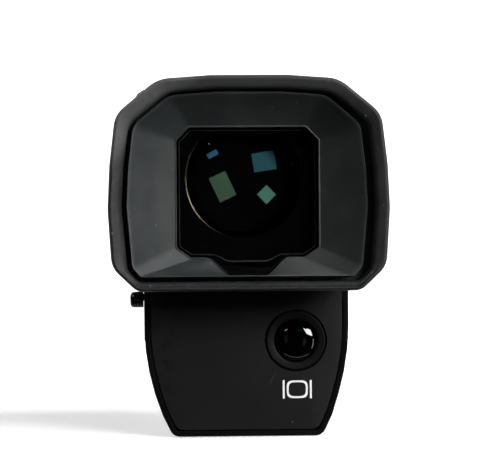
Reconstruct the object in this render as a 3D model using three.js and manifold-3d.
// An electronic viewfinder for a compact camera, in millimetres.
// X runs to the right as the user sees the eyepiece, Y runs forward to the subject and Z runs up.
// The origin is the centre of the accessory shoe foot's underside.
import * as THREE from "three";
import { mergeVertices } from "three/addons/utils/BufferGeometryUtils.js";
import Module from "manifold-3d";

const wasm = await Module();
wasm.setup();

// Clearances shared by all pieces
const fit = 0.1;
const running = 0.08;
const overrun = 1;

// Shoe foot, the standard accessory shoe size
const footWidth = 18.6;
const footLength = 18;
const footThickness = 2;
const footChamfer = 1.2;
const neckWidth = 12.3;
const neckHeight = 1.6;
const footScrewInsetX = 5.1;
const footScrewInsetY = 3.5;

// Base: a block on the shoe and a tongue that hangs behind the camera
const baseWidth = 27.7;
const baseWall = 1.2;
const blockHeight = 7.6;
const blockReach = 7.8;
const blockCornerRadius = 3;
const baseEdgeRadius = 0.8;
const tongueDrop = 9.4;
const tongueThickness = 6.5;
const tongueSetback = 1.8;
const tongueStraight = 5.7;
const tongueFlankRadius = 30;
const tongueCornerRadius = 1.4;
const coverThickness = 1.2;
const coverRim = 0.75;
const coverLedge = 0.7;
const rearBar = 2;
const topPlateThickness = 1;
const topPlateLedge = 0.9;
const topPlateWidth = 20.4;
const topPlateMargin = 2;

// Hinge
const earRadius = 6.5;
const earOuterWall = 1;
const earHollow = 1.35;
const earInnerWall = 0.9;
const earRim = 1;
const earClearance = 0.6;
const knuckleRadius = 7.5;
const knuckleGap = 0.4;
const headGap = 0.5;
const hingePinRadius = 1.9;
const hingePinBore = 1.1;
const hingePinInside = 0.9;
const hingeFlangeRadius = 3;
const hingeFlangeThickness = 0.5;
const hingeCapRadius = 4.3;
const hingeCapThickness = 0.8;
const hingeWasherRadius = 4.2;
const hingeWasherThickness = 0.2;

// Head
const headWidth = 30.4;
const headHeight = 25.8;
const headOverhang = 3.95;
const headWall = 1.2;
const headFlatRoof = 17.25;
const headRoofDrop = 4.5;
const headFrontRadius = 3;
const headEdgeRadius = 2.4;
const shellSplitHeight = 12.3;
const eyepieceFrameThickness = 2.2;
const headBossRadius = 1.3;
const headBossSpacingX = 25.2;
const headBossRearInset = 2.25;
const headBossFrontInset = 18.75;

// Eyecup
const eyecupWidth = 37;
const eyecupHeight = 28.3;
const eyecupDepth = 6.4;
const eyecupBelowHead = 1.2;
const eyecupFlare = 1.2;
const eyecupWall = 0.9;
const rimThickness = 1.9;
const rimBottomThickness = 1.3;
const rimRound = 0.7;
const grooveWidth = 0.5;
const funnelSetback = 0.9;
const windowWidth = 18.8;
const windowHeight = 17.2;
const windowAboveEyecupBottom = 4.4;
const notchDepth = 2.25;
const notchTopWidth = 10.6;
const notchBottomWidth = 4.9;
const windowLedge = 0.3;
const windowGlassMargin = 0.7;
const windowGlassThickness = 0.9;
const sensorWindowThickness = 0.6;
const sensorSize = { x: 6.6, y: 1.2, z: 1.9 };

// Optics
const axisAboveHeadBottom = 13.7;
const lensRadius = 8.4;
const lensSeatStep = 0.4;
const lensEdge = 1.2;
const lensCrownHeight = 1;
const middleLensEdge = 2;
const middleLensHollowDepth = 0.6;
const lensShoulder = 0.8;
const spacerLength = 1.3;
const retainerLength = 1;
const ringWall = 0.7;
const holderWall = 0.8;
const holderRadius = lensRadius + holderWall + lensSeatStep;
const holderLength = 10;
const holderWindowGap = 1.05;
const lensFocusForward = 1.34;
const lensFocusBack = 0.67;
const rodRadius = 0.8;
const rodWallGap = 3.8;
const rodBelowAxis = 6.2;
const dialTurn = THREE.MathUtils.degToRad(270);
const dialRadius = 5.4;
const dialDrumRadius = 4.2;
const dialFlange = 1.1;
const dialInside = 0.9;
const dialFromFrame = 9.25;
const dialGrooveDepth = 0.9;
const dialGrooveWidth = 1.1;
const dialPinOrbit = 2.2;
const dialPinRadius = 0.45;
const dialClipThickness = 0.35;
const dialClipBite = 0.4;
const dialClipProud = 0.5;
const panelWidth = 13.4;
const panelHeight = 11.6;
const panelThickness = 1.1;
const pictureWidth = 9.8;
const pictureHeight = 7.4;
const pictureMargin = 0.4;
const backlightThickness = 2.2;
const boardThickness = 0.8;
const frameWing = 1.6;
const frameClearance = 1;
const frameDepth = 4.5;
const maskThickness = 0.4;

// Controls
const buttonRadius = 2.85;
const buttonRight = 6.68;
const buttonBelowBlockTop = 7.7;
const buttonTravel = 0.6;
const buttonCrown = 0.9;
const buttonFlange = 0.6;
const buttonFlangeThickness = 0.5;
const bezelRadius = 4.05;
const bezelProud = 0.25;
const switchSize = 4.2;
const switchThickness = 0.8;
const switchBoardSize = 9.6;
const lockTravel = 3;
const lockPinTravel = 1.5;
const lockPinRadius = 0.8;
const lockPinForward = 4;
const lockPlateThickness = 1;
const lockKnobLength = 4.4;
const lockKnobHeight = 2.2;
const lockKnobProud = 1.9;
const lockKnobDrop = 0.35;
const lockForward = 1.5;
const springRadius = 1.7;
const springWire = 0.35;

// Accessory port plug
const plugWidth = 10;
const plugHeight = 3.2;
const plugReach = 5.2;
const plugWall = 0.35;
const plugMiddleZ = -5;
const plugCollarMargin = 1.1;
const plugTongueThickness = 1;
const plugTongueInset = 0.9;

// Boards, chips, ribbons and screws inside
const mainBoardSideGap = 0.65;
const mainBoardLength = 19;
const mainBoardRunOn = 1.2;
const boardLift = 0.6;
const chipSize = 7;
const chipHeight = 1;
const ribbonThickness = 0.2;
const ribbonWidth = 3.2;
const ribbonRoll = 0.8;
const screwHeadRadius = 1.15;
const screwHeadDepth = 0.7;
const screwRadius = 0.6;
const screwLength = 3.2;
const screwSlot = 0.35;
const screwBossRadius = 1.4;

// Places that follow from the sizes
const footFrontY = footLength / 2;
const footRearY = -footFrontY;
const neckTopZ = footThickness + neckHeight;
const blockTopZ = neckTopZ + blockHeight;
const floorTopZ = neckTopZ + baseWall;
const blockFrontY = footFrontY + blockReach;
const tongueFrontY = footRearY - tongueSetback;
const baseRearY = tongueFrontY - tongueThickness;
const tongueBottomZ = -tongueDrop;
const baseHalf = baseWidth / 2;
const earOuterX = baseHalf;
const earHollowOuterX = earOuterX - earOuterWall;
const earHollowInnerX = earHollowOuterX - earHollow;
const earInnerX = earHollowInnerX - earInnerWall;
const knuckleHalf = earInnerX - knuckleGap;
const knuckleInside = knuckleHalf - headWall;
const pivotY = blockFrontY - earRadius;
const headBottomZ = blockTopZ + headGap;
const pivotZ = headBottomZ + knuckleRadius;
const headTopZ = headBottomZ + headHeight;
const headFrontY = pivotY + knuckleRadius;
const headRearY = baseRearY - headOverhang;
const headHalf = headWidth / 2;
const splitZ = headBottomZ + shellSplitHeight;
const axisZ = headBottomZ + axisAboveHeadBottom;
const eyepieceFrontY = headRearY - fit / 2;
const eyepieceRearY = eyepieceFrontY - eyepieceFrameThickness;
const eyecupBottomZ = headBottomZ - eyecupBelowHead;
const eyecupHalf = eyecupWidth / 2;
const eyecupFrontY = eyepieceRearY - fit;
const eyecupRearY = eyecupFrontY - eyecupDepth;
const windowBottomZ = eyecupBottomZ + windowAboveEyecupBottom;
const holderRearY = headRearY + holderWindowGap;
const holderFrontY = holderRearY + holderLength;
const rodZ0 = axisZ - rodBelowAxis;
const rodX0 = headHalf - headWall - rodWallGap - rodRadius;
const dialY = headRearY + dialFromFrame;
const dialGroovePitch = (lensFocusForward + lensFocusBack) / dialTurn;
const dialDrumX = headHalf - headWall - dialInside;
const dialFlangeX = headHalf + fit;
const frameRearY = pivotY - knuckleRadius - frameWing - frameClearance;

// Geometry helpers

const weldDistance = 1e-4;

// Turns a geometry into a solid that can be joined and cut.
function solidOf(geometry) {
  const bare = geometry.index ? geometry.toNonIndexed() : geometry.clone();
  bare.deleteAttribute("normal");
  bare.deleteAttribute("uv");
  const welded = mergeVertices(bare, weldDistance);
  const kept = [];
  for (let i = 0; i < welded.index.count; i += 3) {
    const [a, b, c] = welded.index.array.subarray(i, i + 3);
    if (a !== b && b !== c && a !== c) kept.push(a, b, c);
  }
  return new wasm.Manifold(
    new wasm.Mesh({
      numProp: 3,
      vertProperties: welded.attributes.position.array,
      triVerts: new Uint32Array(kept),
    }),
  );
}

// Turns a solid back into a geometry.
function geometryOf(solid) {
  const mesh = solid.getMesh();
  const position = new Float32Array(mesh.numVert * 3);
  for (let i = 0; i < mesh.numVert; i += 1) {
    const start = i * mesh.numProp;
    position.set(mesh.vertProperties.subarray(start, start + 3), i * 3);
  }
  return new THREE.BufferGeometry()
    .setAttribute("position", new THREE.BufferAttribute(position, 3))
    .setIndex(new THREE.BufferAttribute(mesh.triVerts, 1));
}

const join = (...solids) => solids.reduce((a, b) => a.add(b));
const cut = (solid, ...tools) => tools.reduce((a, b) => a.subtract(b), solid);

// A box between two values on each axis.
function block(x0, x1, y0, y1, z0, z1) {
  return solidOf(
    new THREE.BoxGeometry(x1 - x0, y1 - y0, z1 - z0).translate(
      (x0 + x1) / 2,
      (y0 + y1) / 2,
      (z0 + z1) / 2,
    ),
  );
}

const shapeOf = (points) => new THREE.Shape(points.map(([a, b]) => new THREE.Vector2(a, b)));

function prism(points, low, high) {
  const settings = { depth: high - low, bevelEnabled: false };
  return new THREE.ExtrudeGeometry(shapeOf(points), settings).translate(0, 0, low);
}

// Extrusions of an outline given in the plane square to the axis of the same name.
const alongZ = (points, z0, z1) => solidOf(prism(points, z0, z1));
const alongY = (points, y0, y1) => solidOf(prism(points, -y1, -y0).rotateX(Math.PI / 2));
const axisToX = new THREE.Matrix4().set(0, 0, 1, 0, 1, 0, 0, 0, 0, 1, 0, 0, 0, 0, 0, 1);
const alongX = (points, x0, x1) => solidOf(prism(points, x0, x1).applyMatrix4(axisToX));

// A circle as a list of points, with its centre at a, b.
function circle(radius, a, b, steps) {
  return Array.from({ length: steps }, (_, i) => {
    const turn = (2 * Math.PI * i) / steps;
    return [a + radius * Math.cos(turn), b + radius * Math.sin(turn)];
  });
}

const roundSteps = 24;
const smallSteps = 12;
const largeSteps = 32;
const rodX = (radius, x0, x1, y, z, steps = roundSteps) => alongX(circle(radius, y, z, steps), x0, x1);
const rodY = (radius, y0, y1, x, z, steps = roundSteps) => alongY(circle(radius, x, z, steps), y0, y1);
const rodZ = (radius, z0, z1, x, y, steps = smallSteps) => alongZ(circle(radius, x, y, steps), z0, z1);

const cornerSteps = 5;

// Rounds the corners [a, b, radius] of a polygon. A radius of zero keeps a corner sharp.
function rounded(corners, steps = cornerSteps) {
  const points = [];
  corners.forEach(([a, b, radius], i) => {
    const here = new THREE.Vector2(a, b);
    if (radius === 0) {
      points.push([a, b]);
      return;
    }
    const [beforeA, beforeB] = corners[(i + corners.length - 1) % corners.length];
    const [afterA, afterB] = corners[(i + 1) % corners.length];
    const back = new THREE.Vector2(beforeA, beforeB).sub(here);
    const ahead = new THREE.Vector2(afterA, afterB).sub(here);
    const room = 0.45 * Math.min(back.length(), ahead.length());
    back.normalize();
    ahead.normalize();
    const half = Math.acos(THREE.MathUtils.clamp(back.dot(ahead), -1, 1)) / 2;
    const reach = Math.min(radius / Math.tan(half), room);
    const middle = here.clone().addScaledVector(back, reach);
    const end = here.clone().addScaledVector(ahead, reach);
    const centre = back.clone().add(ahead).normalize().multiplyScalar(reach / Math.cos(half)).add(here);
    const arm = middle.clone().sub(centre);
    const turn = Math.atan2(arm.cross(end.clone().sub(centre)), arm.dot(end.clone().sub(centre)));
    for (let k = 0; k < steps; k += 1) {
      const swing = (turn * k) / (steps - 1);
      points.push([
        centre.x + arm.x * Math.cos(swing) - arm.y * Math.sin(swing),
        centre.y + arm.x * Math.sin(swing) + arm.y * Math.cos(swing),
      ]);
    }
  });
  return points;
}

// Moves every side of an anticlockwise polygon inwards by a distance and trims its corner radii.
function inset(corners, distance) {
  return corners.map(([a, b, radius], i) => {
    const [beforeA, beforeB] = corners[(i + corners.length - 1) % corners.length];
    const [afterA, afterB] = corners[(i + 1) % corners.length];
    const first = new THREE.Vector2(a - beforeA, b - beforeB).normalize();
    const second = new THREE.Vector2(afterA - a, afterB - b).normalize();
    const firstIn = new THREE.Vector2(-first.y, first.x);
    const secondIn = new THREE.Vector2(-second.y, second.x);
    const miter = firstIn.clone().add(secondIn).normalize();
    const step = distance / miter.dot(firstIn);
    return [a + miter.x * step, b + miter.y * step, Math.max(radius - distance, radius / 4)];
  });
}

// Mirrors the right-hand corners, listed from the bottom up, into a closed anticlockwise outline.
const mirrored = (half) => [...half, ...half.toReversed().map(([a, b, radius]) => [-a, b, radius])];

// A ring of points in space from an outline in X and Z at one Y.
const ringAt = (points, y) => points.map(([x, z]) => [x, y, z]);

// Joins rings of equal length into a closed tube that goes round and back on itself.
function loop(rings) {
  const count = rings[0].length;
  const position = rings.flat(2);
  const index = [];
  rings.forEach((_, i) => {
    const near = i * count;
    const far = ((i + 1) % rings.length) * count;
    for (let k = 0; k < count; k += 1) {
      const next = (k + 1) % count;
      index.push(near + k, far + k, far + next, near + k, far + next, near + next);
    }
  });
  const geometry = new THREE.BufferGeometry();
  geometry.setAttribute("position", new THREE.Float32BufferAttribute(position, 3));
  const made = solidOf(geometry.clone().setIndex(index));
  return made.volume() > 0 ? made : solidOf(geometry.setIndex(index.toReversed()));
}

const latheSteps = 24;

// A solid of revolution about the optical axis from [radius, y] points.
function turned(profile, steps = latheSteps) {
  const points = profile.map(([radius, y]) => new THREE.Vector2(radius, y));
  const lathe = (list) => solidOf(new THREE.LatheGeometry(list, steps).translate(0, 0, axisZ));
  const made = lathe(points);
  return made.volume() > 0 ? made : lathe(points.toReversed());
}

// Finishes
const finishes = {
  rubber: { color: 0x1d1e20, roughness: 0.62, metalness: 0 },
  frame: { color: 0x23282a, roughness: 0.5, metalness: 0 },
  casing: { color: 0x121214, roughness: 0.42, metalness: 0 },
  inner: { color: 0x0a0a0b, roughness: 0.8, metalness: 0 },
  gloss: { color: 0x050506, roughness: 0.08, metalness: 0 },
  glass: { color: 0xbfd8d2, roughness: 0.03, metalness: 0 },
  steel: { color: 0xb9bcc0, roughness: 0.3, metalness: 1 },
  blackSteel: { color: 0x1a1b1d, roughness: 0.35, metalness: 1 },
  board: { color: 0x0f4a2c, roughness: 0.5, metalness: 0 },
  chip: { color: 0x17181a, roughness: 0.6, metalness: 0 },
  ribbon: { color: 0xb5762a, roughness: 0.4, metalness: 0 },
  diffuser: { color: 0xe9ecee, roughness: 0.7, metalness: 0 },
};

const viewfinder = new THREE.Group();

function place(name, solid, finish) {
  const mesh = new THREE.Mesh(geometryOf(solid), new THREE.MeshStandardMaterial(finishes[finish]));
  mesh.name = name;
  viewfinder.add(mesh);
}

// A ring between two radii along X.
const collarX = (outer, inner, x0, x1, y, z) =>
  cut(rodX(outer, x0, x1, y, z), rodX(inner, x0 - overrun, x1 + overrun, y, z));

// Base: the outline of the block from above and of the tongue from behind
const blockPlan = () =>
  rounded([
    [-baseHalf, baseRearY, baseEdgeRadius],
    [baseHalf, baseRearY, baseEdgeRadius],
    [baseHalf, blockFrontY, blockCornerRadius],
    [-baseHalf, blockFrontY, blockCornerRadius],
  ]);

function tongueOutline(margin, topZ) {
  const radius = tongueFlankRadius - margin;
  const startZ = blockTopZ - tongueStraight;
  const bottomZ = tongueBottomZ + margin;
  const centreX = baseHalf - tongueFlankRadius;
  const sweep = Math.asin((startZ - bottomZ) / radius);
  const flank = Array.from({ length: cornerSteps + 1 }, (_, k) => {
    const angle = sweep * (1 - k / cornerSteps);
    const corner = k === 0 ? Math.max(tongueCornerRadius - margin, tongueCornerRadius / 3) : 0;
    return [centreX + radius * Math.cos(angle), startZ - radius * Math.sin(angle), corner];
  });
  return rounded(mirrored([...flank, [baseHalf - margin, topZ, baseEdgeRadius]]));
}

function earProfile(margin, lowZ) {
  const radius = earRadius - margin;
  const crown = circle(radius, pivotY, pivotZ, roundSteps).slice(0, roundSteps / 2 + 1);
  return [[pivotY + radius, lowZ], ...crown, [pivotY - radius, lowZ]];
}

const sides = [-1, 1];
const screwPlaces = (spacingX, ...rows) =>
  rows.flatMap((y) => sides.map((side) => [(side * spacingX) / 2, y]));
const footScrewPlaces = screwPlaces(
  footWidth - 2 * footScrewInsetX,
  footRearY + footScrewInsetY,
  footFrontY - footScrewInsetY,
);
const topPlateRearY = baseRearY + rearBar;
const topPlateFrontY = blockFrontY - topPlateMargin;
const cavityFrontY = blockFrontY - baseWall;
const tongueFloorY = tongueFrontY - baseWall;
const topPlateScrewPlaces = screwPlaces(
  topPlateWidth - 2 * screwBossRadius - topPlateLedge,
  tongueFloorY + screwBossRadius,
  topPlateFrontY - screwBossRadius,
);
const buttonZ = blockTopZ - buttonBelowBlockTop;
const plugBottomZ = plugMiddleZ - plugHeight / 2;
const plugTopZ = plugMiddleZ + plugHeight / 2;
const plugHalf = plugWidth / 2;
const lockPlateTopZ = blockTopZ - topPlateThickness - 2 * fit;
const lockPlateBottomZ = lockPlateTopZ - lockPlateThickness;
const lockKnobMiddleY = baseRearY + lockKnobLength / 2 + lockForward;

// Two distances from the middle plane on one side of it, lowest first.
const between = (side, a, b) => [Math.min(side * a, side * b), Math.max(side * a, side * b)];

// A box between the same limits on both sides of the middle plane.
const midBlock = (halfX, y0, y1, z0, z1) => block(-halfX, halfX, y0, y1, z0, z1);

function baseBody() {
  const plan = blockPlan();
  let body = join(
    alongZ(plan, neckTopZ, blockTopZ),
    alongY(tongueOutline(0, blockTopZ), baseRearY, tongueFrontY),
  );
  const wholeHeight = alongZ(plan, neckTopZ, pivotZ + knuckleRadius);
  sides.forEach((side) => {
    const ear = alongX(earProfile(0, blockTopZ - topPlateThickness), ...between(side, earInnerX, earOuterX));
    body = body.add(ear.intersect(wholeHeight));
  });
  const innerHalf = baseHalf - baseWall;
  const cavityTopZ = blockTopZ - topPlateThickness;
  body = cut(
    body,
    midBlock(innerHalf, baseRearY + coverThickness + fit, cavityFrontY, floorTopZ, cavityTopZ),
    midBlock(topPlateWidth / 2 - topPlateLedge, topPlateRearY + topPlateLedge,
      topPlateFrontY - topPlateLedge, floorTopZ, blockTopZ + overrun),
    midBlock(topPlateWidth / 2, topPlateRearY, topPlateFrontY, cavityTopZ, blockTopZ + overrun),
    alongY(tongueOutline(coverRim, blockTopZ - rearBar), baseRearY - overrun, baseRearY + coverThickness),
    alongY(tongueOutline(coverRim + coverLedge, blockTopZ - rearBar - coverLedge), baseRearY, tongueFloorY),
    midBlock(plugHalf + fit, tongueFloorY - overrun, tongueFrontY + overrun,
      plugBottomZ - fit, plugTopZ + fit),
    block(-baseHalf - overrun, -innerHalf + overrun, lockKnobMiddleY - lockKnobLength / 2 + fit,
      lockKnobMiddleY + lockKnobLength / 2 + lockTravel - fit, lockPlateBottomZ - fit, lockPlateTopZ + fit),
  );
  sides.forEach((side) => {
    const outsideX = earOuterX + overrun;
    const capRoom = between(side, earHollowOuterX, outsideX);
    body = cut(
      body,
      alongX(earProfile(earRim, floorTopZ), ...between(side, earHollowInnerX, earHollowOuterX)),
      rodX(hingeCapRadius + fit, ...capRoom, pivotY, pivotZ),
      rodX(hingePinRadius + fit, ...between(side, knuckleHalf, outsideX), pivotY, pivotZ),
    );
  });
  topPlateScrewPlaces.forEach(([x, y]) => {
    body = join(body, rodZ(screwBossRadius, floorTopZ - fit, cavityTopZ, x, y));
  });
  topPlateScrewPlaces.forEach(([x, y]) => {
    body = cut(body, rodZ(screwRadius + fit, blockTopZ - screwLength - fit, blockTopZ + overrun, x, y));
  });
  footScrewPlaces.forEach(([x, y]) => {
    body = cut(body, rodZ(screwRadius + fit, neckTopZ - overrun, floorTopZ + overrun, x, y));
  });
  return cut(body, rodZ(lockPinRadius + fit, neckTopZ - overrun, floorTopZ + overrun, 0, lockPinForward));
}

function shoeFoot() {
  const half = footWidth / 2;
  const plate = rounded([
    [-half, footRearY, baseEdgeRadius],
    [half, footRearY, baseEdgeRadius],
    [half, footFrontY - footChamfer, 0],
    [half - footChamfer, footFrontY, 0],
    [-half + footChamfer, footFrontY, 0],
    [-half, footFrontY - footChamfer, 0],
  ]);
  const neck = midBlock(neckWidth / 2, footRearY, footFrontY - footChamfer, footThickness, neckTopZ - fit);
  let foot = cut(
    join(alongZ(plate, 0, footThickness), neck),
    rodZ(lockPinRadius + fit, -overrun, neckTopZ + overrun, 0, lockPinForward),
  );
  footScrewPlaces.forEach(([x, y]) => {
    foot = cut(
      foot,
      rodZ(screwRadius + fit, -overrun, neckTopZ + overrun, x, y),
      rodZ(screwHeadRadius + fit, -overrun, screwHeadDepth + fit, x, y),
    );
  });
  return foot;
}

// A screw with a cross in its head, standing along Z with its head's outer face at z.
function screw(x, y, z, up, length = screwLength) {
  const body = join(
    rodZ(screwHeadRadius, Math.min(z, z - up * screwHeadDepth), Math.max(z, z - up * screwHeadDepth), x, y),
    rodZ(screwRadius, Math.min(z, z - up * length), Math.max(z, z - up * length), x, y),
  );
  const arm = screwHeadRadius * 0.7;
  const half = screwSlot / 2;
  const deep = z - up * screwHeadDepth * 0.6;
  const high = z + up * overrun;
  return cut(
    body,
    block(x - arm, x + arm, y - half, y + half, Math.min(deep, high), Math.max(deep, high)),
    block(x - half, x + half, y - arm, y + arm, Math.min(deep, high), Math.max(deep, high)),
  );
}

function topPlate() {
  const half = topPlateWidth / 2 - fit;
  const plate = midBlock(half, topPlateRearY + fit, topPlateFrontY - fit,
    blockTopZ - topPlateThickness, blockTopZ);
  return topPlateScrewPlaces.reduce(
    (made, [x, y]) =>
      cut(
        made,
        rodZ(screwRadius + fit, blockTopZ - topPlateThickness - overrun, blockTopZ + overrun, x, y),
        rodZ(screwHeadRadius + fit, blockTopZ - screwHeadDepth - fit, blockTopZ + overrun, x, y),
      ),
    plate,
  );
}

function rearCover() {
  const cover = alongY(
    tongueOutline(coverRim + fit, blockTopZ - rearBar - fit),
    baseRearY + fit / 2,
    baseRearY + coverThickness - fit / 2,
  );
  const holeFrontY = baseRearY + coverThickness + overrun;
  return cut(cover, rodY(bezelRadius + fit, baseRearY - overrun, holeFrontY, buttonRight, buttonZ));
}

// A solid of revolution about the button's axis from [radius, y] points.
function buttonTurned(profile) {
  const points = profile.map(([radius, y]) => new THREE.Vector2(radius, y));
  const lathe = (list) => {
    const geometry = new THREE.LatheGeometry(list, latheSteps);
    return solidOf(geometry.translate(buttonRight, 0, buttonZ));
  };
  const made = lathe(points);
  return made.volume() > 0 ? made : lathe(points.toReversed());
}

const bezelFrontY = baseRearY + coverThickness + fit / 2;
const capFlangeY = bezelFrontY + fit;
const capFrontY = capFlangeY + buttonFlangeThickness;
const rubberFrontY = capFrontY + buttonTravel + 3 * fit;

function buttonBezel() {
  const rearY = baseRearY - bezelProud;
  const bore = buttonRadius + fit;
  return buttonTurned([
    [bore, bezelFrontY],
    [bore, rearY + bezelProud + fit],
    [(bore + bezelRadius) / 2, rearY + bezelProud],
    [bezelRadius - bezelProud, rearY],
    [bezelRadius, rearY + bezelProud],
    [bezelRadius, bezelFrontY],
    [bore, bezelFrontY],
  ]);
}

function buttonCap() {
  const rimY = baseRearY + bezelProud;
  const dome = Array.from({ length: cornerSteps }, (_, k) => {
    const angle = (Math.PI / 2) * (k / cornerSteps);
    return [buttonRadius * Math.cos(angle), rimY - buttonCrown * Math.sin(angle)];
  });
  const flange = buttonRadius + buttonFlange;
  return buttonTurned([
    [0, capFrontY],
    [flange, capFrontY],
    [flange, capFlangeY],
    [buttonRadius, capFlangeY],
    ...dome,
    [0, rimY - buttonCrown],
  ]);
}

// A ring of rubber that pushes the button back out
function buttonRubber() {
  const outer = buttonRadius + buttonFlange / 2;
  const inner = buttonRadius - buttonFlange;
  return buttonTurned([
    [inner, rubberFrontY],
    [outer, rubberFrontY],
    [outer - buttonFlange, capFrontY + fit],
    [inner - buttonFlange, capFrontY + fit],
    [inner, rubberFrontY],
  ]);
}

function squareY(size, y0, y1) {
  const half = size / 2;
  return block(buttonRight - half, buttonRight + half, y0, y1, buttonZ - half, buttonZ + half);
}

place("base_body", baseBody(), "casing");
place("shoe_foot", shoeFoot(), "steel");
footScrewPlaces.forEach(([x, y], i) => {
  place(`foot_screw_${i + 1}`, screw(x, y, fit, -1, floorTopZ + fit), "steel");
});
place("base_top_plate", topPlate(), "casing");
topPlateScrewPlaces.forEach(([x, y], i) => {
  place(`top_plate_screw_${i + 1}`, screw(x, y, blockTopZ - fit, 1), "blackSteel");
});
place("rear_cover", rearCover(), "casing");
place("button_bezel", buttonBezel(), "gloss");
place("button_cap", buttonCap(), "gloss");
place("button_rubber", buttonRubber(), "rubber");
const switchRearY = rubberFrontY + fit / 2;
const switchFrontY = switchRearY + switchThickness;
place("button_switch", join(
  squareY(switchSize, switchRearY, switchFrontY),
  rodY(switchSize / 4, capFrontY + buttonTravel + fit, switchRearY + fit, buttonRight, buttonZ, smallSteps),
), "steel");
const buttonBoardFrontY = switchFrontY + boardThickness;
place("button_board", squareY(switchBoardSize, switchFrontY + fit / 2, buttonBoardFrontY), "board");

const boardBottomZ = floorTopZ + boardLift;
const boardTopZ = boardBottomZ + boardThickness;
const boardFrontY = pivotY + mainBoardRunOn;
const boardRearY = boardFrontY - mainBoardLength;
const boardHalfWidth = baseHalf - baseWall - mainBoardSideGap;

// The board stands on pads round the foot screws' ends, which pass through the floor.
function mainBoard() {
  let board = midBlock(boardHalfWidth, boardRearY, boardFrontY, boardBottomZ, boardTopZ);
  footScrewPlaces.forEach(([x, y]) => {
    board = board.add(rodZ(screwBossRadius, floorTopZ + fit, boardBottomZ, x, y));
    board = cut(board, rodZ(screwRadius + fit, floorTopZ - overrun, boardTopZ + overrun, x, y));
  });
  return cut(board, rodZ(springRadius + 3 * fit, floorTopZ, boardTopZ + overrun, 0, lockPinForward));
}

place("main_board", mainBoard(), "board");
place("video_chip", block(springRadius + chipHeight + fit, springRadius + chipHeight + fit + chipSize,
  boardFrontY - chipSize - screwBossRadius, boardFrontY - screwBossRadius, boardTopZ + fit / 2,
  boardTopZ + chipHeight), "chip");

// Accessory port plug: a collar in the tongue's front wall, a folded metal shell and a contact tongue
const collarRearY = tongueFloorY - plugCollarMargin - 2 * fit;
const shellFrontY = tongueFrontY + plugReach;

function plugTube(halfX, halfZ, y0, y1) {
  return midBlock(halfX, y0, y1, plugMiddleZ - halfZ, plugMiddleZ + halfZ);
}

function plugCollar() {
  const halfX = plugHalf + plugCollarMargin;
  const halfZ = plugHeight / 2 + plugCollarMargin;
  const outer = plugTube(halfX, halfZ, collarRearY, tongueFloorY - fit);
  const pocketY = collarRearY + plugWall + fit;
  return cut(outer, plugTube(plugHalf + fit, plugHeight / 2 + fit, pocketY, tongueFloorY));
}

function plugShell() {
  const outer = plugTube(plugHalf, plugHeight / 2, collarRearY + plugWall + 2 * fit, shellFrontY);
  const inner = plugTube(plugHalf - plugWall, plugHeight / 2 - plugWall, collarRearY, shellFrontY + overrun);
  return cut(outer, inner);
}

place("plug_collar", plugCollar(), "inner");
place("plug_shell", plugShell(), "steel");
place("plug_tongue", plugTube(plugHalf - plugWall - plugTongueInset, plugTongueThickness / 2,
  collarRearY + plugWall + 2 * fit, shellFrontY - plugTongueInset), "chip");

// Lock: a lever that slides forward on the left and wedges a pin down into the camera's shoe
const lockPinHeadHalf = lockPinRadius * 1.5;
const wedgeSlope = lockPinTravel / lockTravel;
const pinHeadBottomZ = floorTopZ + 2 * fit + lockPinTravel + springWire * 2;
const pinHeadTopZ = lockPlateBottomZ - fit;

function lockPin() {
  const rearY = lockPinForward - lockPinHeadHalf;
  const frontY = lockPinForward + lockPinHeadHalf;
  const drop = wedgeSlope * 2 * lockPinHeadHalf;
  const head = alongX(
    [
      [rearY, pinHeadBottomZ],
      [frontY, pinHeadBottomZ],
      [frontY, pinHeadTopZ],
      [rearY, pinHeadTopZ - drop],
    ],
    -lockPinHeadHalf,
    lockPinHeadHalf,
  );
  return join(head, rodZ(lockPinRadius, fit / 2, pinHeadBottomZ + fit, 0, lockPinForward));
}

function lockLever() {
  const wall = -baseHalf;
  const rearY = lockKnobMiddleY - lockKnobLength / 2;
  const knobCorner = lockKnobHeight / 3;
  const knobTopZ = lockPlateTopZ + (lockKnobHeight - lockPlateThickness) / 2 - lockKnobDrop;
  const knob = alongX(
    rounded([
      [rearY, knobTopZ - lockKnobHeight, knobCorner],
      [rearY + lockKnobLength, knobTopZ - lockKnobHeight, knobCorner],
      [rearY + lockKnobLength, knobTopZ, knobCorner],
      [rearY, knobTopZ, knobCorner],
    ]),
    wall - lockKnobProud,
    wall - fit,
  );
  const frontY = lockPinForward + lockPinHeadHalf;
  const plate = (x0, x1, y0, y1) => block(x0, x1, y0, y1, lockPlateBottomZ, lockPlateTopZ);
  const insideX = wall + baseWall + fit;
  const tabRearY = rearY + 2 * fit;
  const tabFrontY = rearY + lockKnobLength - 2 * fit;
  const tab = plate(wall - fit - lockKnobProud / 2, insideX + fit, tabRearY, tabFrontY);
  const arm = plate(insideX, insideX + baseWall, tabRearY, frontY);
  const wedgeRearY = lockPinForward - lockPinHeadHalf - lockTravel;
  const cross = plate(insideX, lockPinHeadHalf, wedgeRearY, frontY);
  const wedge = alongX(
    [
      [wedgeRearY, lockPlateBottomZ + fit],
      [wedgeRearY, lockPlateBottomZ - wedgeSlope * (frontY - wedgeRearY)],
      [frontY, lockPlateBottomZ],
      [frontY, lockPlateBottomZ + fit],
    ],
    -lockPinHeadHalf,
    lockPinHeadHalf,
  );
  return join(knob, tab, arm, cross, wedge);
}

place("lock_lever", lockLever(), "gloss");
place("lock_pin", lockPin(), "steel");
const springTopZ = pinHeadBottomZ - fit;
place("lock_spring", cut(
  rodZ(springRadius, floorTopZ + fit, springTopZ, 0, lockPinForward),
  rodZ(springRadius - springWire, floorTopZ - overrun, springTopZ + overrun, 0, lockPinForward),
), "steel");

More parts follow.
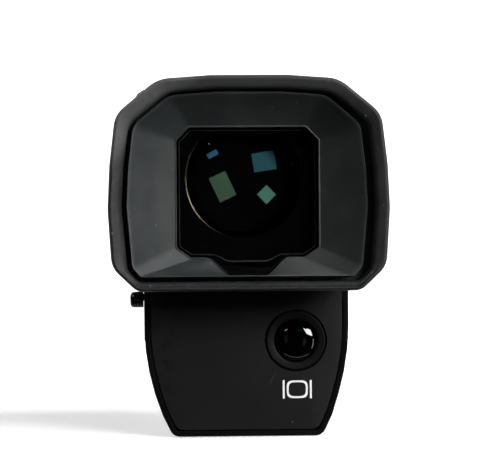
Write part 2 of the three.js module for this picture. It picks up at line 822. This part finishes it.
// Hinge parts on both sides
function hingePin(side) {
  const flangeX = earHollowInnerX + fit + hingeFlangeThickness;
  const made = join(
    rodX(hingePinRadius, ...between(side, knuckleInside - hingePinInside, flangeX), pivotY, pivotZ),
    rodX(hingeFlangeRadius, ...between(side, earHollowInnerX + fit, flangeX), pivotY, pivotZ),
  );
  return cut(made, rodX(hingePinBore, ...between(side, 0, earOuterX), pivotY, pivotZ));
}

sides.forEach((side) => {
  const word = side < 0 ? "left" : "right";
  place(`hinge_pin_${word}`, hingePin(side), "steel");
  const washerX = knuckleHalf + fit;
  const washer = [hingeWasherRadius, hingePinRadius + fit];
  place(`hinge_washer_${word}`, collarX(...washer, ...between(side, washerX, washerX + hingeWasherThickness),
    pivotY, pivotZ), "steel");
  const capX = earOuterX - fit;
  const capSpan = between(side, capX - hingeCapThickness, capX);
  place(`hinge_cap_${word}`, rodX(hingeCapRadius, ...capSpan, pivotY, pivotZ, largeSteps), "casing");
});

// The base ribbon: a roll through the left pin, a run down inside the ear and a foot on the board
function baseRibbon() {
  const x = -(earHollowOuterX - 2 * fit);
  const half = ribbonWidth / 2;
  const lowZ = boardTopZ + fit;
  return join(
    block(x, x + ribbonThickness, pivotY - half, pivotY + half, lowZ, pivotZ + ribbonRoll),
    block(x, x + ribbonWidth, pivotY - half, pivotY + half, lowZ, lowZ + ribbonThickness),
    rodX(ribbonRoll, x + fit, -knuckleInside + hingePinInside, pivotY, pivotZ, smallSteps),
  );
}

place("base_ribbon", baseRibbon(), "ribbon");

// Head: its outline from the side, with the knuckle's round front under the ears
function headSide(margin) {
  const rearY = headRearY + (margin > 0 ? -overrun : 0);
  const frontY = headFrontY - margin;
  const bottomZ = headBottomZ + margin;
  const radius = knuckleRadius - margin;
  const quarter = Array.from({ length: cornerSteps * 2 + 1 }, (_, k) => {
    const angle = (Math.PI / 2) * (k / (cornerSteps * 2));
    return [pivotY + radius * Math.sin(angle), pivotZ - radius * Math.cos(angle), 0];
  });
  const roofZ = headTopZ - margin;
  return rounded([
    [rearY, bottomZ, 0],
    ...quarter,
    [frontY, roofZ - headRoofDrop, headFrontRadius],
    [headRearY + headFlatRoof, roofZ, headFrontRadius * 2],
    [rearY, roofZ, 0],
  ]);
}

function headEnd(margin) {
  const half = headHalf - margin;
  const radius = headEdgeRadius - margin / 2;
  return rounded([
    [-half, headBottomZ + margin, radius],
    [half, headBottomZ + margin, radius],
    [half, headTopZ - margin, radius],
    [-half, headTopZ - margin, radius],
  ]);
}

// The room for one ear as the head turns: its round end and the quarter turn that its stalk sweeps.
function earRoom(margin, side) {
  const radius = earRadius + earClearance + margin;
  const corner = knuckleRadius + overrun;
  const innerX = knuckleHalf - margin;
  const around = Array.from({ length: cornerSteps * 3 + 1 }, (_, k) => {
    const angle = Math.PI - (Math.PI / 2) * (k / (cornerSteps * 3));
    return [pivotY + radius * Math.cos(angle), pivotZ + radius * Math.sin(angle)];
  });
  const outline = [[pivotY - radius, pivotZ - corner], ...around, [pivotY + corner, pivotZ + radius],
    [pivotY + corner, pivotZ - corner]];
  return alongX(outline.toReversed(), ...between(side, innerX, headHalf + overrun));
}

const headForm = (margin) =>
  sides.reduce(
    (made, side) => made.subtract(earRoom(margin, side)),
    alongX(headSide(margin), -headHalf - overrun, headHalf + overrun).intersect(
      alongY(headEnd(margin), headRearY - 2 * overrun, headFrontY + overrun),
    ),
  );

const headScrewPlaces = screwPlaces(
  headBossSpacingX,
  headRearY + headBossRearInset,
  headRearY + headBossFrontInset,
);
const bossTopZ = splitZ + screwLength;

const halfSpace = (low) =>
  midBlock(headHalf + overrun, headRearY - overrun, headFrontY + overrun,
    low ? headBottomZ - overrun : splitZ + fit / 2, low ? splitZ - fit / 2 : headTopZ + overrun);

function headUpperShell() {
  let shell = headForm(0).subtract(headForm(headWall)).intersect(halfSpace(false));
  const inside = headForm(headWall - fit);
  headScrewPlaces.forEach(([x, y]) => {
    shell = join(shell, rodZ(headBossRadius, splitZ + fit / 2, headTopZ, x, y).intersect(inside));
    shell = cut(shell, rodZ(screwRadius + fit, splitZ - overrun, bossTopZ, x, y));
  });
  return shell;
}

function headLowerShell() {
  let shell = headForm(0).subtract(headForm(headWall)).intersect(halfSpace(true));
  const inside = headForm(headWall - fit);
  const ribFrontY = headRearY + headBossRearInset + fit;
  sides.forEach((side) => {
    const rib = block(...between(side, rodX0 - 2 * rodRadius, headHalf), ribFrontY - headWall, ribFrontY,
      headBottomZ, rodZ0 + 2 * rodRadius);
    shell = join(shell, rib.intersect(inside));
  });
  const holderRoom = rodY(holderRadius + 3 * fit, headRearY, headFrontY - headWall, 0, axisZ, largeSteps);
  const ribZone = midBlock(headHalf, headRearY, dialY, headBottomZ + headWall, headTopZ);
  shell = cut(shell, holderRoom.intersect(ribZone));
  headScrewPlaces.forEach(([x, y]) => {
    shell = join(shell, rodZ(headBossRadius, headBottomZ, splitZ - fit / 2, x, y).intersect(inside));
    shell = cut(
      shell,
      rodZ(screwRadius + fit, headBottomZ - overrun, splitZ + overrun, x, y),
      rodZ(screwHeadRadius + fit, headBottomZ - overrun, headBottomZ + screwHeadDepth + fit, x, y),
    );
  });
  sides.forEach((side) => {
    shell = cut(
      shell,
      rodY(rodRadius + fit, headRearY, ribFrontY + overrun, side * rodX0, rodZ0, smallSteps),
      rodX(hingePinRadius + running, ...between(side, 0, headHalf), pivotY, pivotZ),
    );
  });
  return cut(shell, rodX(dialDrumRadius + running, 0, headHalf + overrun, dialY, rodZ0, largeSteps));
}

place("head_upper_shell", headUpperShell(), "casing");
place("head_lower_shell", headLowerShell(), "casing");
const headScrewLength = bossTopZ - headBottomZ - screwHeadDepth;
headScrewPlaces.forEach(([x, y], i) => {
  place(`head_screw_${i + 1}`, screw(x, y, headBottomZ + fit, -1, headScrewLength), "blackSteel");
});

// Eyecup and funnel: corner places from the bottom up, as shares of the half width, height and half width
const eyecupCornerShares = [
  [0.79, 0, 0.1],
  [0.957, 0.11, 0.17],
  [1, 0.38, 0.65],
  [0.938, 0.816, 0.14],
  [0.632, 0.98, 0.16],
  [0.27, 1, 0.4],
];
const windowCornerShares = [
  [0.8, 0, 0.02],
  [1, 0.075, 0.02],
  [1, 0.36, 0.1],
  [1, 0.9, 0.02],
  [0.82, 1, 0.02],
  [0.27, 1, 0.1],
];
const scaledCorners = (shares, half, bottom, height) =>
  mirrored(shares.map(([a, b, radius]) => [a * half, bottom + b * height, radius * half]));
const eyecupCorners = () => scaledCorners(eyecupCornerShares, eyecupHalf, eyecupBottomZ, eyecupHeight);
const windowCorners = () => scaledCorners(windowCornerShares, windowWidth / 2, windowBottomZ, windowHeight);
const ring = (corners, margin, y) => ringAt(rounded(inset(corners, margin), 4), y);

// The mouth inside the rim, which is thinner along its bottom edge
const mouthCorners = () =>
  scaledCorners(
    eyecupCornerShares,
    eyecupHalf - rimThickness,
    eyecupBottomZ + rimBottomThickness,
    eyecupHeight - rimBottomThickness - rimThickness,
  );

function eyecup() {
  const outer = eyecupCorners();
  const mouth = mouthCorners();
  return loop([
    ring(outer, eyecupFlare, eyecupFrontY),
    ring(outer, 0, (eyecupFrontY + eyecupRearY) / 2),
    ring(outer, 0, eyecupRearY + rimRound),
    ring(outer, rimRound, eyecupRearY),
    ring(mouth, -rimRound / 2, eyecupRearY),
    ring(mouth, 0, eyecupRearY + rimRound),
    ring(mouth, eyecupFlare + eyecupWall - rimThickness, eyecupFrontY),
  ]);
}

function notchPrism(margin, y0, y1) {
  const top = notchTopWidth / 2 - margin;
  const bottom = notchBottomWidth / 2 - margin;
  return alongY(
    [
      [-bottom, windowBottomZ - notchDepth + margin],
      [bottom, windowBottomZ - notchDepth + margin],
      [top, windowBottomZ + margin],
      [top, windowBottomZ + windowLedge + overrun / 2],
      [-top, windowBottomZ + windowLedge + overrun / 2],
      [-top, windowBottomZ + margin],
    ],
    y0,
    y1,
  );
}

const funnelFrontY = eyecupFrontY - fit;

function eyecupFunnel() {
  const mouth = mouthCorners();
  const seat = eyecupFlare + eyecupWall - rimThickness + fit;
  const rearY = eyecupRearY + funnelSetback;
  const solid = loop([
    ring(windowCorners(), 0, funnelFrontY),
    ring(mouth, grooveWidth, rearY),
    ring(mouth, seat, rearY + grooveWidth),
    ring(mouth, seat, funnelFrontY),
  ]);
  return cut(solid, notchPrism(0, eyecupRearY, eyecupFrontY + overrun));
}

const eyepieceOutline = () =>
  rounded([
    [-headHalf, headBottomZ, headEdgeRadius],
    [headHalf, headBottomZ, headEdgeRadius],
    [headHalf, headTopZ, headEdgeRadius],
    [-headHalf, headTopZ, headEdgeRadius],
  ]);
const glassRearY = eyepieceFrontY - windowGlassThickness - fit;

function windowPane(margin, y0, y1) {
  return alongY(rounded(inset(windowCorners(), margin), 3), y0, y1);
}

function eyepieceFrame() {
  const plate = alongY(eyepieceOutline(), eyepieceRearY, eyepieceFrontY);
  return cut(
    plate,
    windowPane(windowLedge, eyepieceRearY - overrun, eyepieceFrontY + overrun),
    windowPane(-windowGlassMargin, glassRearY - fit, eyepieceFrontY + overrun),
    notchPrism(fit, eyepieceRearY - overrun, eyepieceRearY + sensorWindowThickness + fit),
    midBlock(notchBottomWidth / 2 - 2 * fit, eyepieceRearY, eyepieceFrontY + overrun,
      windowBottomZ - notchDepth + 3 * fit, windowBottomZ - windowGlassMargin - 3 * fit),
  );
}

function sensorWindow() {
  const prismSolid = notchPrism(2 * fit, eyepieceRearY + fit / 2, eyepieceRearY + sensorWindowThickness);
  return prismSolid.intersect(
    midBlock(headHalf, eyepieceRearY, eyepieceFrontY, headBottomZ, windowBottomZ + fit),
  );
}

place("eyecup", eyecup(), "rubber");
place("eyecup_funnel", eyecupFunnel(), "frame");
place("eyepiece_frame", eyepieceFrame(), "inner");
place("eyepiece_window", windowPane(-windowGlassMargin + fit, glassRearY, eyepieceFrontY - fit), "glass");
place("sensor_window", sensorWindow(), "gloss");
place("sensor_module", midBlock(sensorSize.x / 2, eyepieceFrontY + fit, eyepieceFrontY + fit + sensorSize.y,
  headBottomZ + headWall + fit, headBottomZ + headWall + fit + sensorSize.z), "chip");

// Optics: three elements in a holder that slides on two rods to focus
const rearLensFrontY = holderRearY + lensCrownHeight + lensEdge + 3 * fit;
const shoulderFrontY = rearLensFrontY + lensShoulder + 2 * fit;
const middleLensRearY = shoulderFrontY + fit / 2;
const spacerRearY = middleLensRearY + middleLensEdge + fit / 2;
const frontLensRearY = spacerRearY + spacerLength + 3 * fit;
const retainerRearY = frontLensRearY + lensEdge + 3 * fit;
const dialPinY = dialY - dialPinOrbit;
const lensCurveSteps = 4;

// A lens between two edges, with the height of each face over its edge: positive bulges, negative hollows.
function lens(rearY, edge, rearCrown, frontCrown) {
  const curve = (edgeY, crown, outward) =>
    Array.from({ length: lensCurveSteps + 1 }, (_, k) => {
      const radius = (lensRadius * k) / lensCurveSteps;
      return [radius, edgeY + outward * crown * (1 - (radius / lensRadius) ** 2)];
    });
  return turned([...curve(rearY, rearCrown, -1), ...curve(rearY + edge, frontCrown, 1).toReversed()]);
}

function tube(outer, inner, y0, y1) {
  return turned([
    [inner, y0],
    [outer, y0],
    [outer, y1],
    [inner, y1],
    [inner, y0],
  ]);
}

const lugInnerShare = 0.8;

function lensHolder() {
  const seat = lensRadius + fit;
  const barrel = turned([
    [seat, holderRearY],
    [holderRadius, holderRearY],
    [holderRadius, holderFrontY],
    [seat, holderFrontY],
    [seat, shoulderFrontY],
    [lensRadius - lensSeatStep, shoulderFrontY],
    [lensRadius - lensSeatStep, rearLensFrontY + 2 * fit],
    [seat, rearLensFrontY + 2 * fit],
    [seat, holderRearY],
  ], largeSteps);
  const lugHalf = rodRadius + holderWall;
  const lugInnerX = lensRadius * lugInnerShare;
  const lugY = [dialPinY - lugHalf, dialPinY + lugHalf];
  const lugZ = [rodZ0 - lugHalf, rodZ0 + lugHalf];
  const core = rodY(holderRadius - fit, holderRearY, holderFrontY, 0, axisZ, largeSteps);
  const lug = (side, reachX) => block(...between(side, lugInnerX, reachX), ...lugY, ...lugZ).subtract(core);
  let holder = join(
    barrel,
    lug(-1, rodX0 + lugHalf),
    lug(1, dialDrumX - 2 * fit),
    rodX(dialPinRadius, dialDrumX - 3 * fit, dialDrumX + dialGrooveDepth - fit, dialPinY, rodZ0, smallSteps),
  );
  sides.forEach((side) => {
    const bore = rodY(rodRadius + running, holderRearY, holderFrontY, side * rodX0, rodZ0, smallSteps);
    holder = holder.subtract(bore);
  });
  return holder;
}

place("lens_holder", lensHolder(), "inner");
place("rear_lens", lens(rearLensFrontY - lensEdge, lensEdge, lensCrownHeight, lensCrownHeight), "glass");
const middleHollow = -middleLensHollowDepth;
place("middle_lens", lens(middleLensRearY, middleLensEdge, middleHollow, middleHollow), "glass");
place("front_lens", lens(frontLensRearY, lensEdge, lensCrownHeight, lensCrownHeight), "glass");
const ringAlong = (rearY, length) => tube(lensRadius, lensRadius - ringWall, rearY, rearY + length);
place("lens_spacer", ringAlong(spacerRearY, spacerLength), "blackSteel");
place("lens_retainer", ringAlong(retainerRearY, retainerLength), "blackSteel");

const rodRearY = headRearY + headBossRearInset + fit - headWall;
sides.forEach((side) => {
  place(`guide_rod_${side < 0 ? "left" : "right"}`,
    rodY(rodRadius, rodRearY, frameRearY + frameWing, side * rodX0, rodZ0, smallSteps), "steel");
});

// Diopter dial: a spiral in its inner face moves the holder's pin to and fro as it turns
const dialSpiralSteps = 18;

function dialGroove() {
  const from = -lensFocusBack / dialGroovePitch;
  const to = lensFocusForward / dialGroovePitch;
  const at = (turn, offset) => {
    const radius = dialPinOrbit - dialGroovePitch * turn + offset;
    return [dialY - radius * Math.cos(turn), rodZ0 + radius * Math.sin(turn)];
  };
  const half = dialGrooveWidth / 2;
  const step = (to - from) / dialSpiralSteps;
  const turns = Array.from({ length: dialSpiralSteps + 1 }, (_, k) => from + step * k);
  const outer = turns.map((turn) => at(turn, -half));
  const inner = turns.toReversed().map((turn) => at(turn, half));
  const band = [...outer, ...inner];
  const area = THREE.ShapeUtils.area(shapeOf(band).getPoints());
  const ordered = area > 0 ? band : band.toReversed();
  const x0 = dialDrumX - overrun;
  const x1 = dialDrumX + dialGrooveDepth;
  const ends = [from, to].map((turn) => rodX(half, x0, x1, ...at(turn, 0), smallSteps));
  return join(alongX(ordered, x0, x1), ...ends);
}

function diopterDial() {
  const ribs = 24;
  const grip = Array.from({ length: ribs * 2 }, (_, i) => {
    const turn = (Math.PI * i) / ribs;
    const radius = i % 2 ? dialRadius : dialRadius - 2 * fit;
    return [dialY + radius * Math.cos(turn), rodZ0 + radius * Math.sin(turn)];
  });
  const clipX = headHalf - headWall - fit / 2;
  return cut(
    join(
      rodX(dialDrumRadius, dialDrumX, dialFlangeX + fit, dialY, rodZ0, largeSteps),
      alongX(grip, dialFlangeX, dialFlangeX + dialFlange),
    ),
    dialGroove(),
    collarX(dialDrumRadius + overrun, dialDrumRadius - dialClipBite, clipX - dialClipThickness - fit / 2,
      clipX + fit / 2, dialY, rodZ0),
  );
}

place("diopter_dial", diopterDial(), "casing");
const clipFrontX = headHalf - headWall - fit / 2;
place("dial_clip", collarX(dialDrumRadius + dialClipProud, dialDrumRadius - dialClipBite + fit / 2,
  clipFrontX - dialClipThickness, clipFrontX, dialY, rodZ0), "steel");

// Display: mask, panel, backlight and board on a frame across the head
const frameFrontY = frameRearY + frameWing + frameDepth;
const pocketRearY = frameFrontY - panelThickness - backlightThickness - 2 * fit;
const around = (halfX, halfZ, y0, y1) => midBlock(halfX, y0, y1, axisZ - halfZ, axisZ + halfZ);

function panelFrame() {
  const halfX = panelWidth / 2;
  const halfZ = panelHeight / 2;
  const lug = rodRadius + holderWall;
  const wingTopZ = axisZ + halfZ + headWall;
  const wing = midBlock(rodX0 + lug, frameRearY, frameRearY + frameWing, rodZ0 - lug, wingTopZ);
  let frame = join(wing, around(halfX + headWall, halfZ + headWall, frameRearY + fit, frameFrontY));
  sides.forEach((side) => {
    const bore = rodY(rodRadius + fit, frameRearY - overrun, frameFrontY, side * rodX0, rodZ0, smallSteps);
    frame = frame.subtract(bore);
  });
  return cut(
    frame,
    around(halfX + fit, halfZ + fit, pocketRearY, frameFrontY + overrun),
    around(pictureWidth / 2 + pictureMargin, pictureHeight / 2 + pictureMargin, frameRearY - overrun,
      frameFrontY),
  );
}

place("panel_frame", panelFrame(), "inner");
place("display_mask", cut(
  around(panelWidth / 2, panelHeight / 2, frameRearY - fit / 2 - maskThickness, frameRearY - fit / 2),
  around(pictureWidth / 2, pictureHeight / 2, frameRearY - overrun, frameRearY),
), "inner");
const behindPanel = (y0, y1) => around(panelWidth / 2, panelHeight / 2, y0 + fit / 2, y1);
const panelFrontY = pocketRearY + panelThickness;
place("display_panel", behindPanel(pocketRearY, panelFrontY), "gloss");
place("backlight", behindPanel(panelFrontY, frameFrontY - fit / 2), "diffuser");
const displayBoardY = frameFrontY + fit / 2;
const displayBoardFrontY = displayBoardY + boardThickness;
const displayBoardHalf = [panelWidth / 2 + headWall, panelHeight / 2 + headWall];
place("display_board", around(...displayBoardHalf, displayBoardY, displayBoardFrontY), "board");

// The head's ribbon runs from the display board to the mouth of the hollow left pin.
function headRibbon() {
  const x = -(knuckleInside - hingePinInside - 3 * fit);
  const rearY = displayBoardFrontY + fit / 2;
  const lowZ = pivotZ - ribbonRoll;
  return join(
    block(x, x + ribbonWidth, rearY, rearY + ribbonThickness, lowZ, pivotZ + ribbonWidth),
    block(x, x + ribbonThickness, rearY, pivotY + ribbonRoll, lowZ, pivotZ + ribbonRoll),
  );
}

place("head_ribbon", headRibbon(), "ribbon");
export default viewfinder;
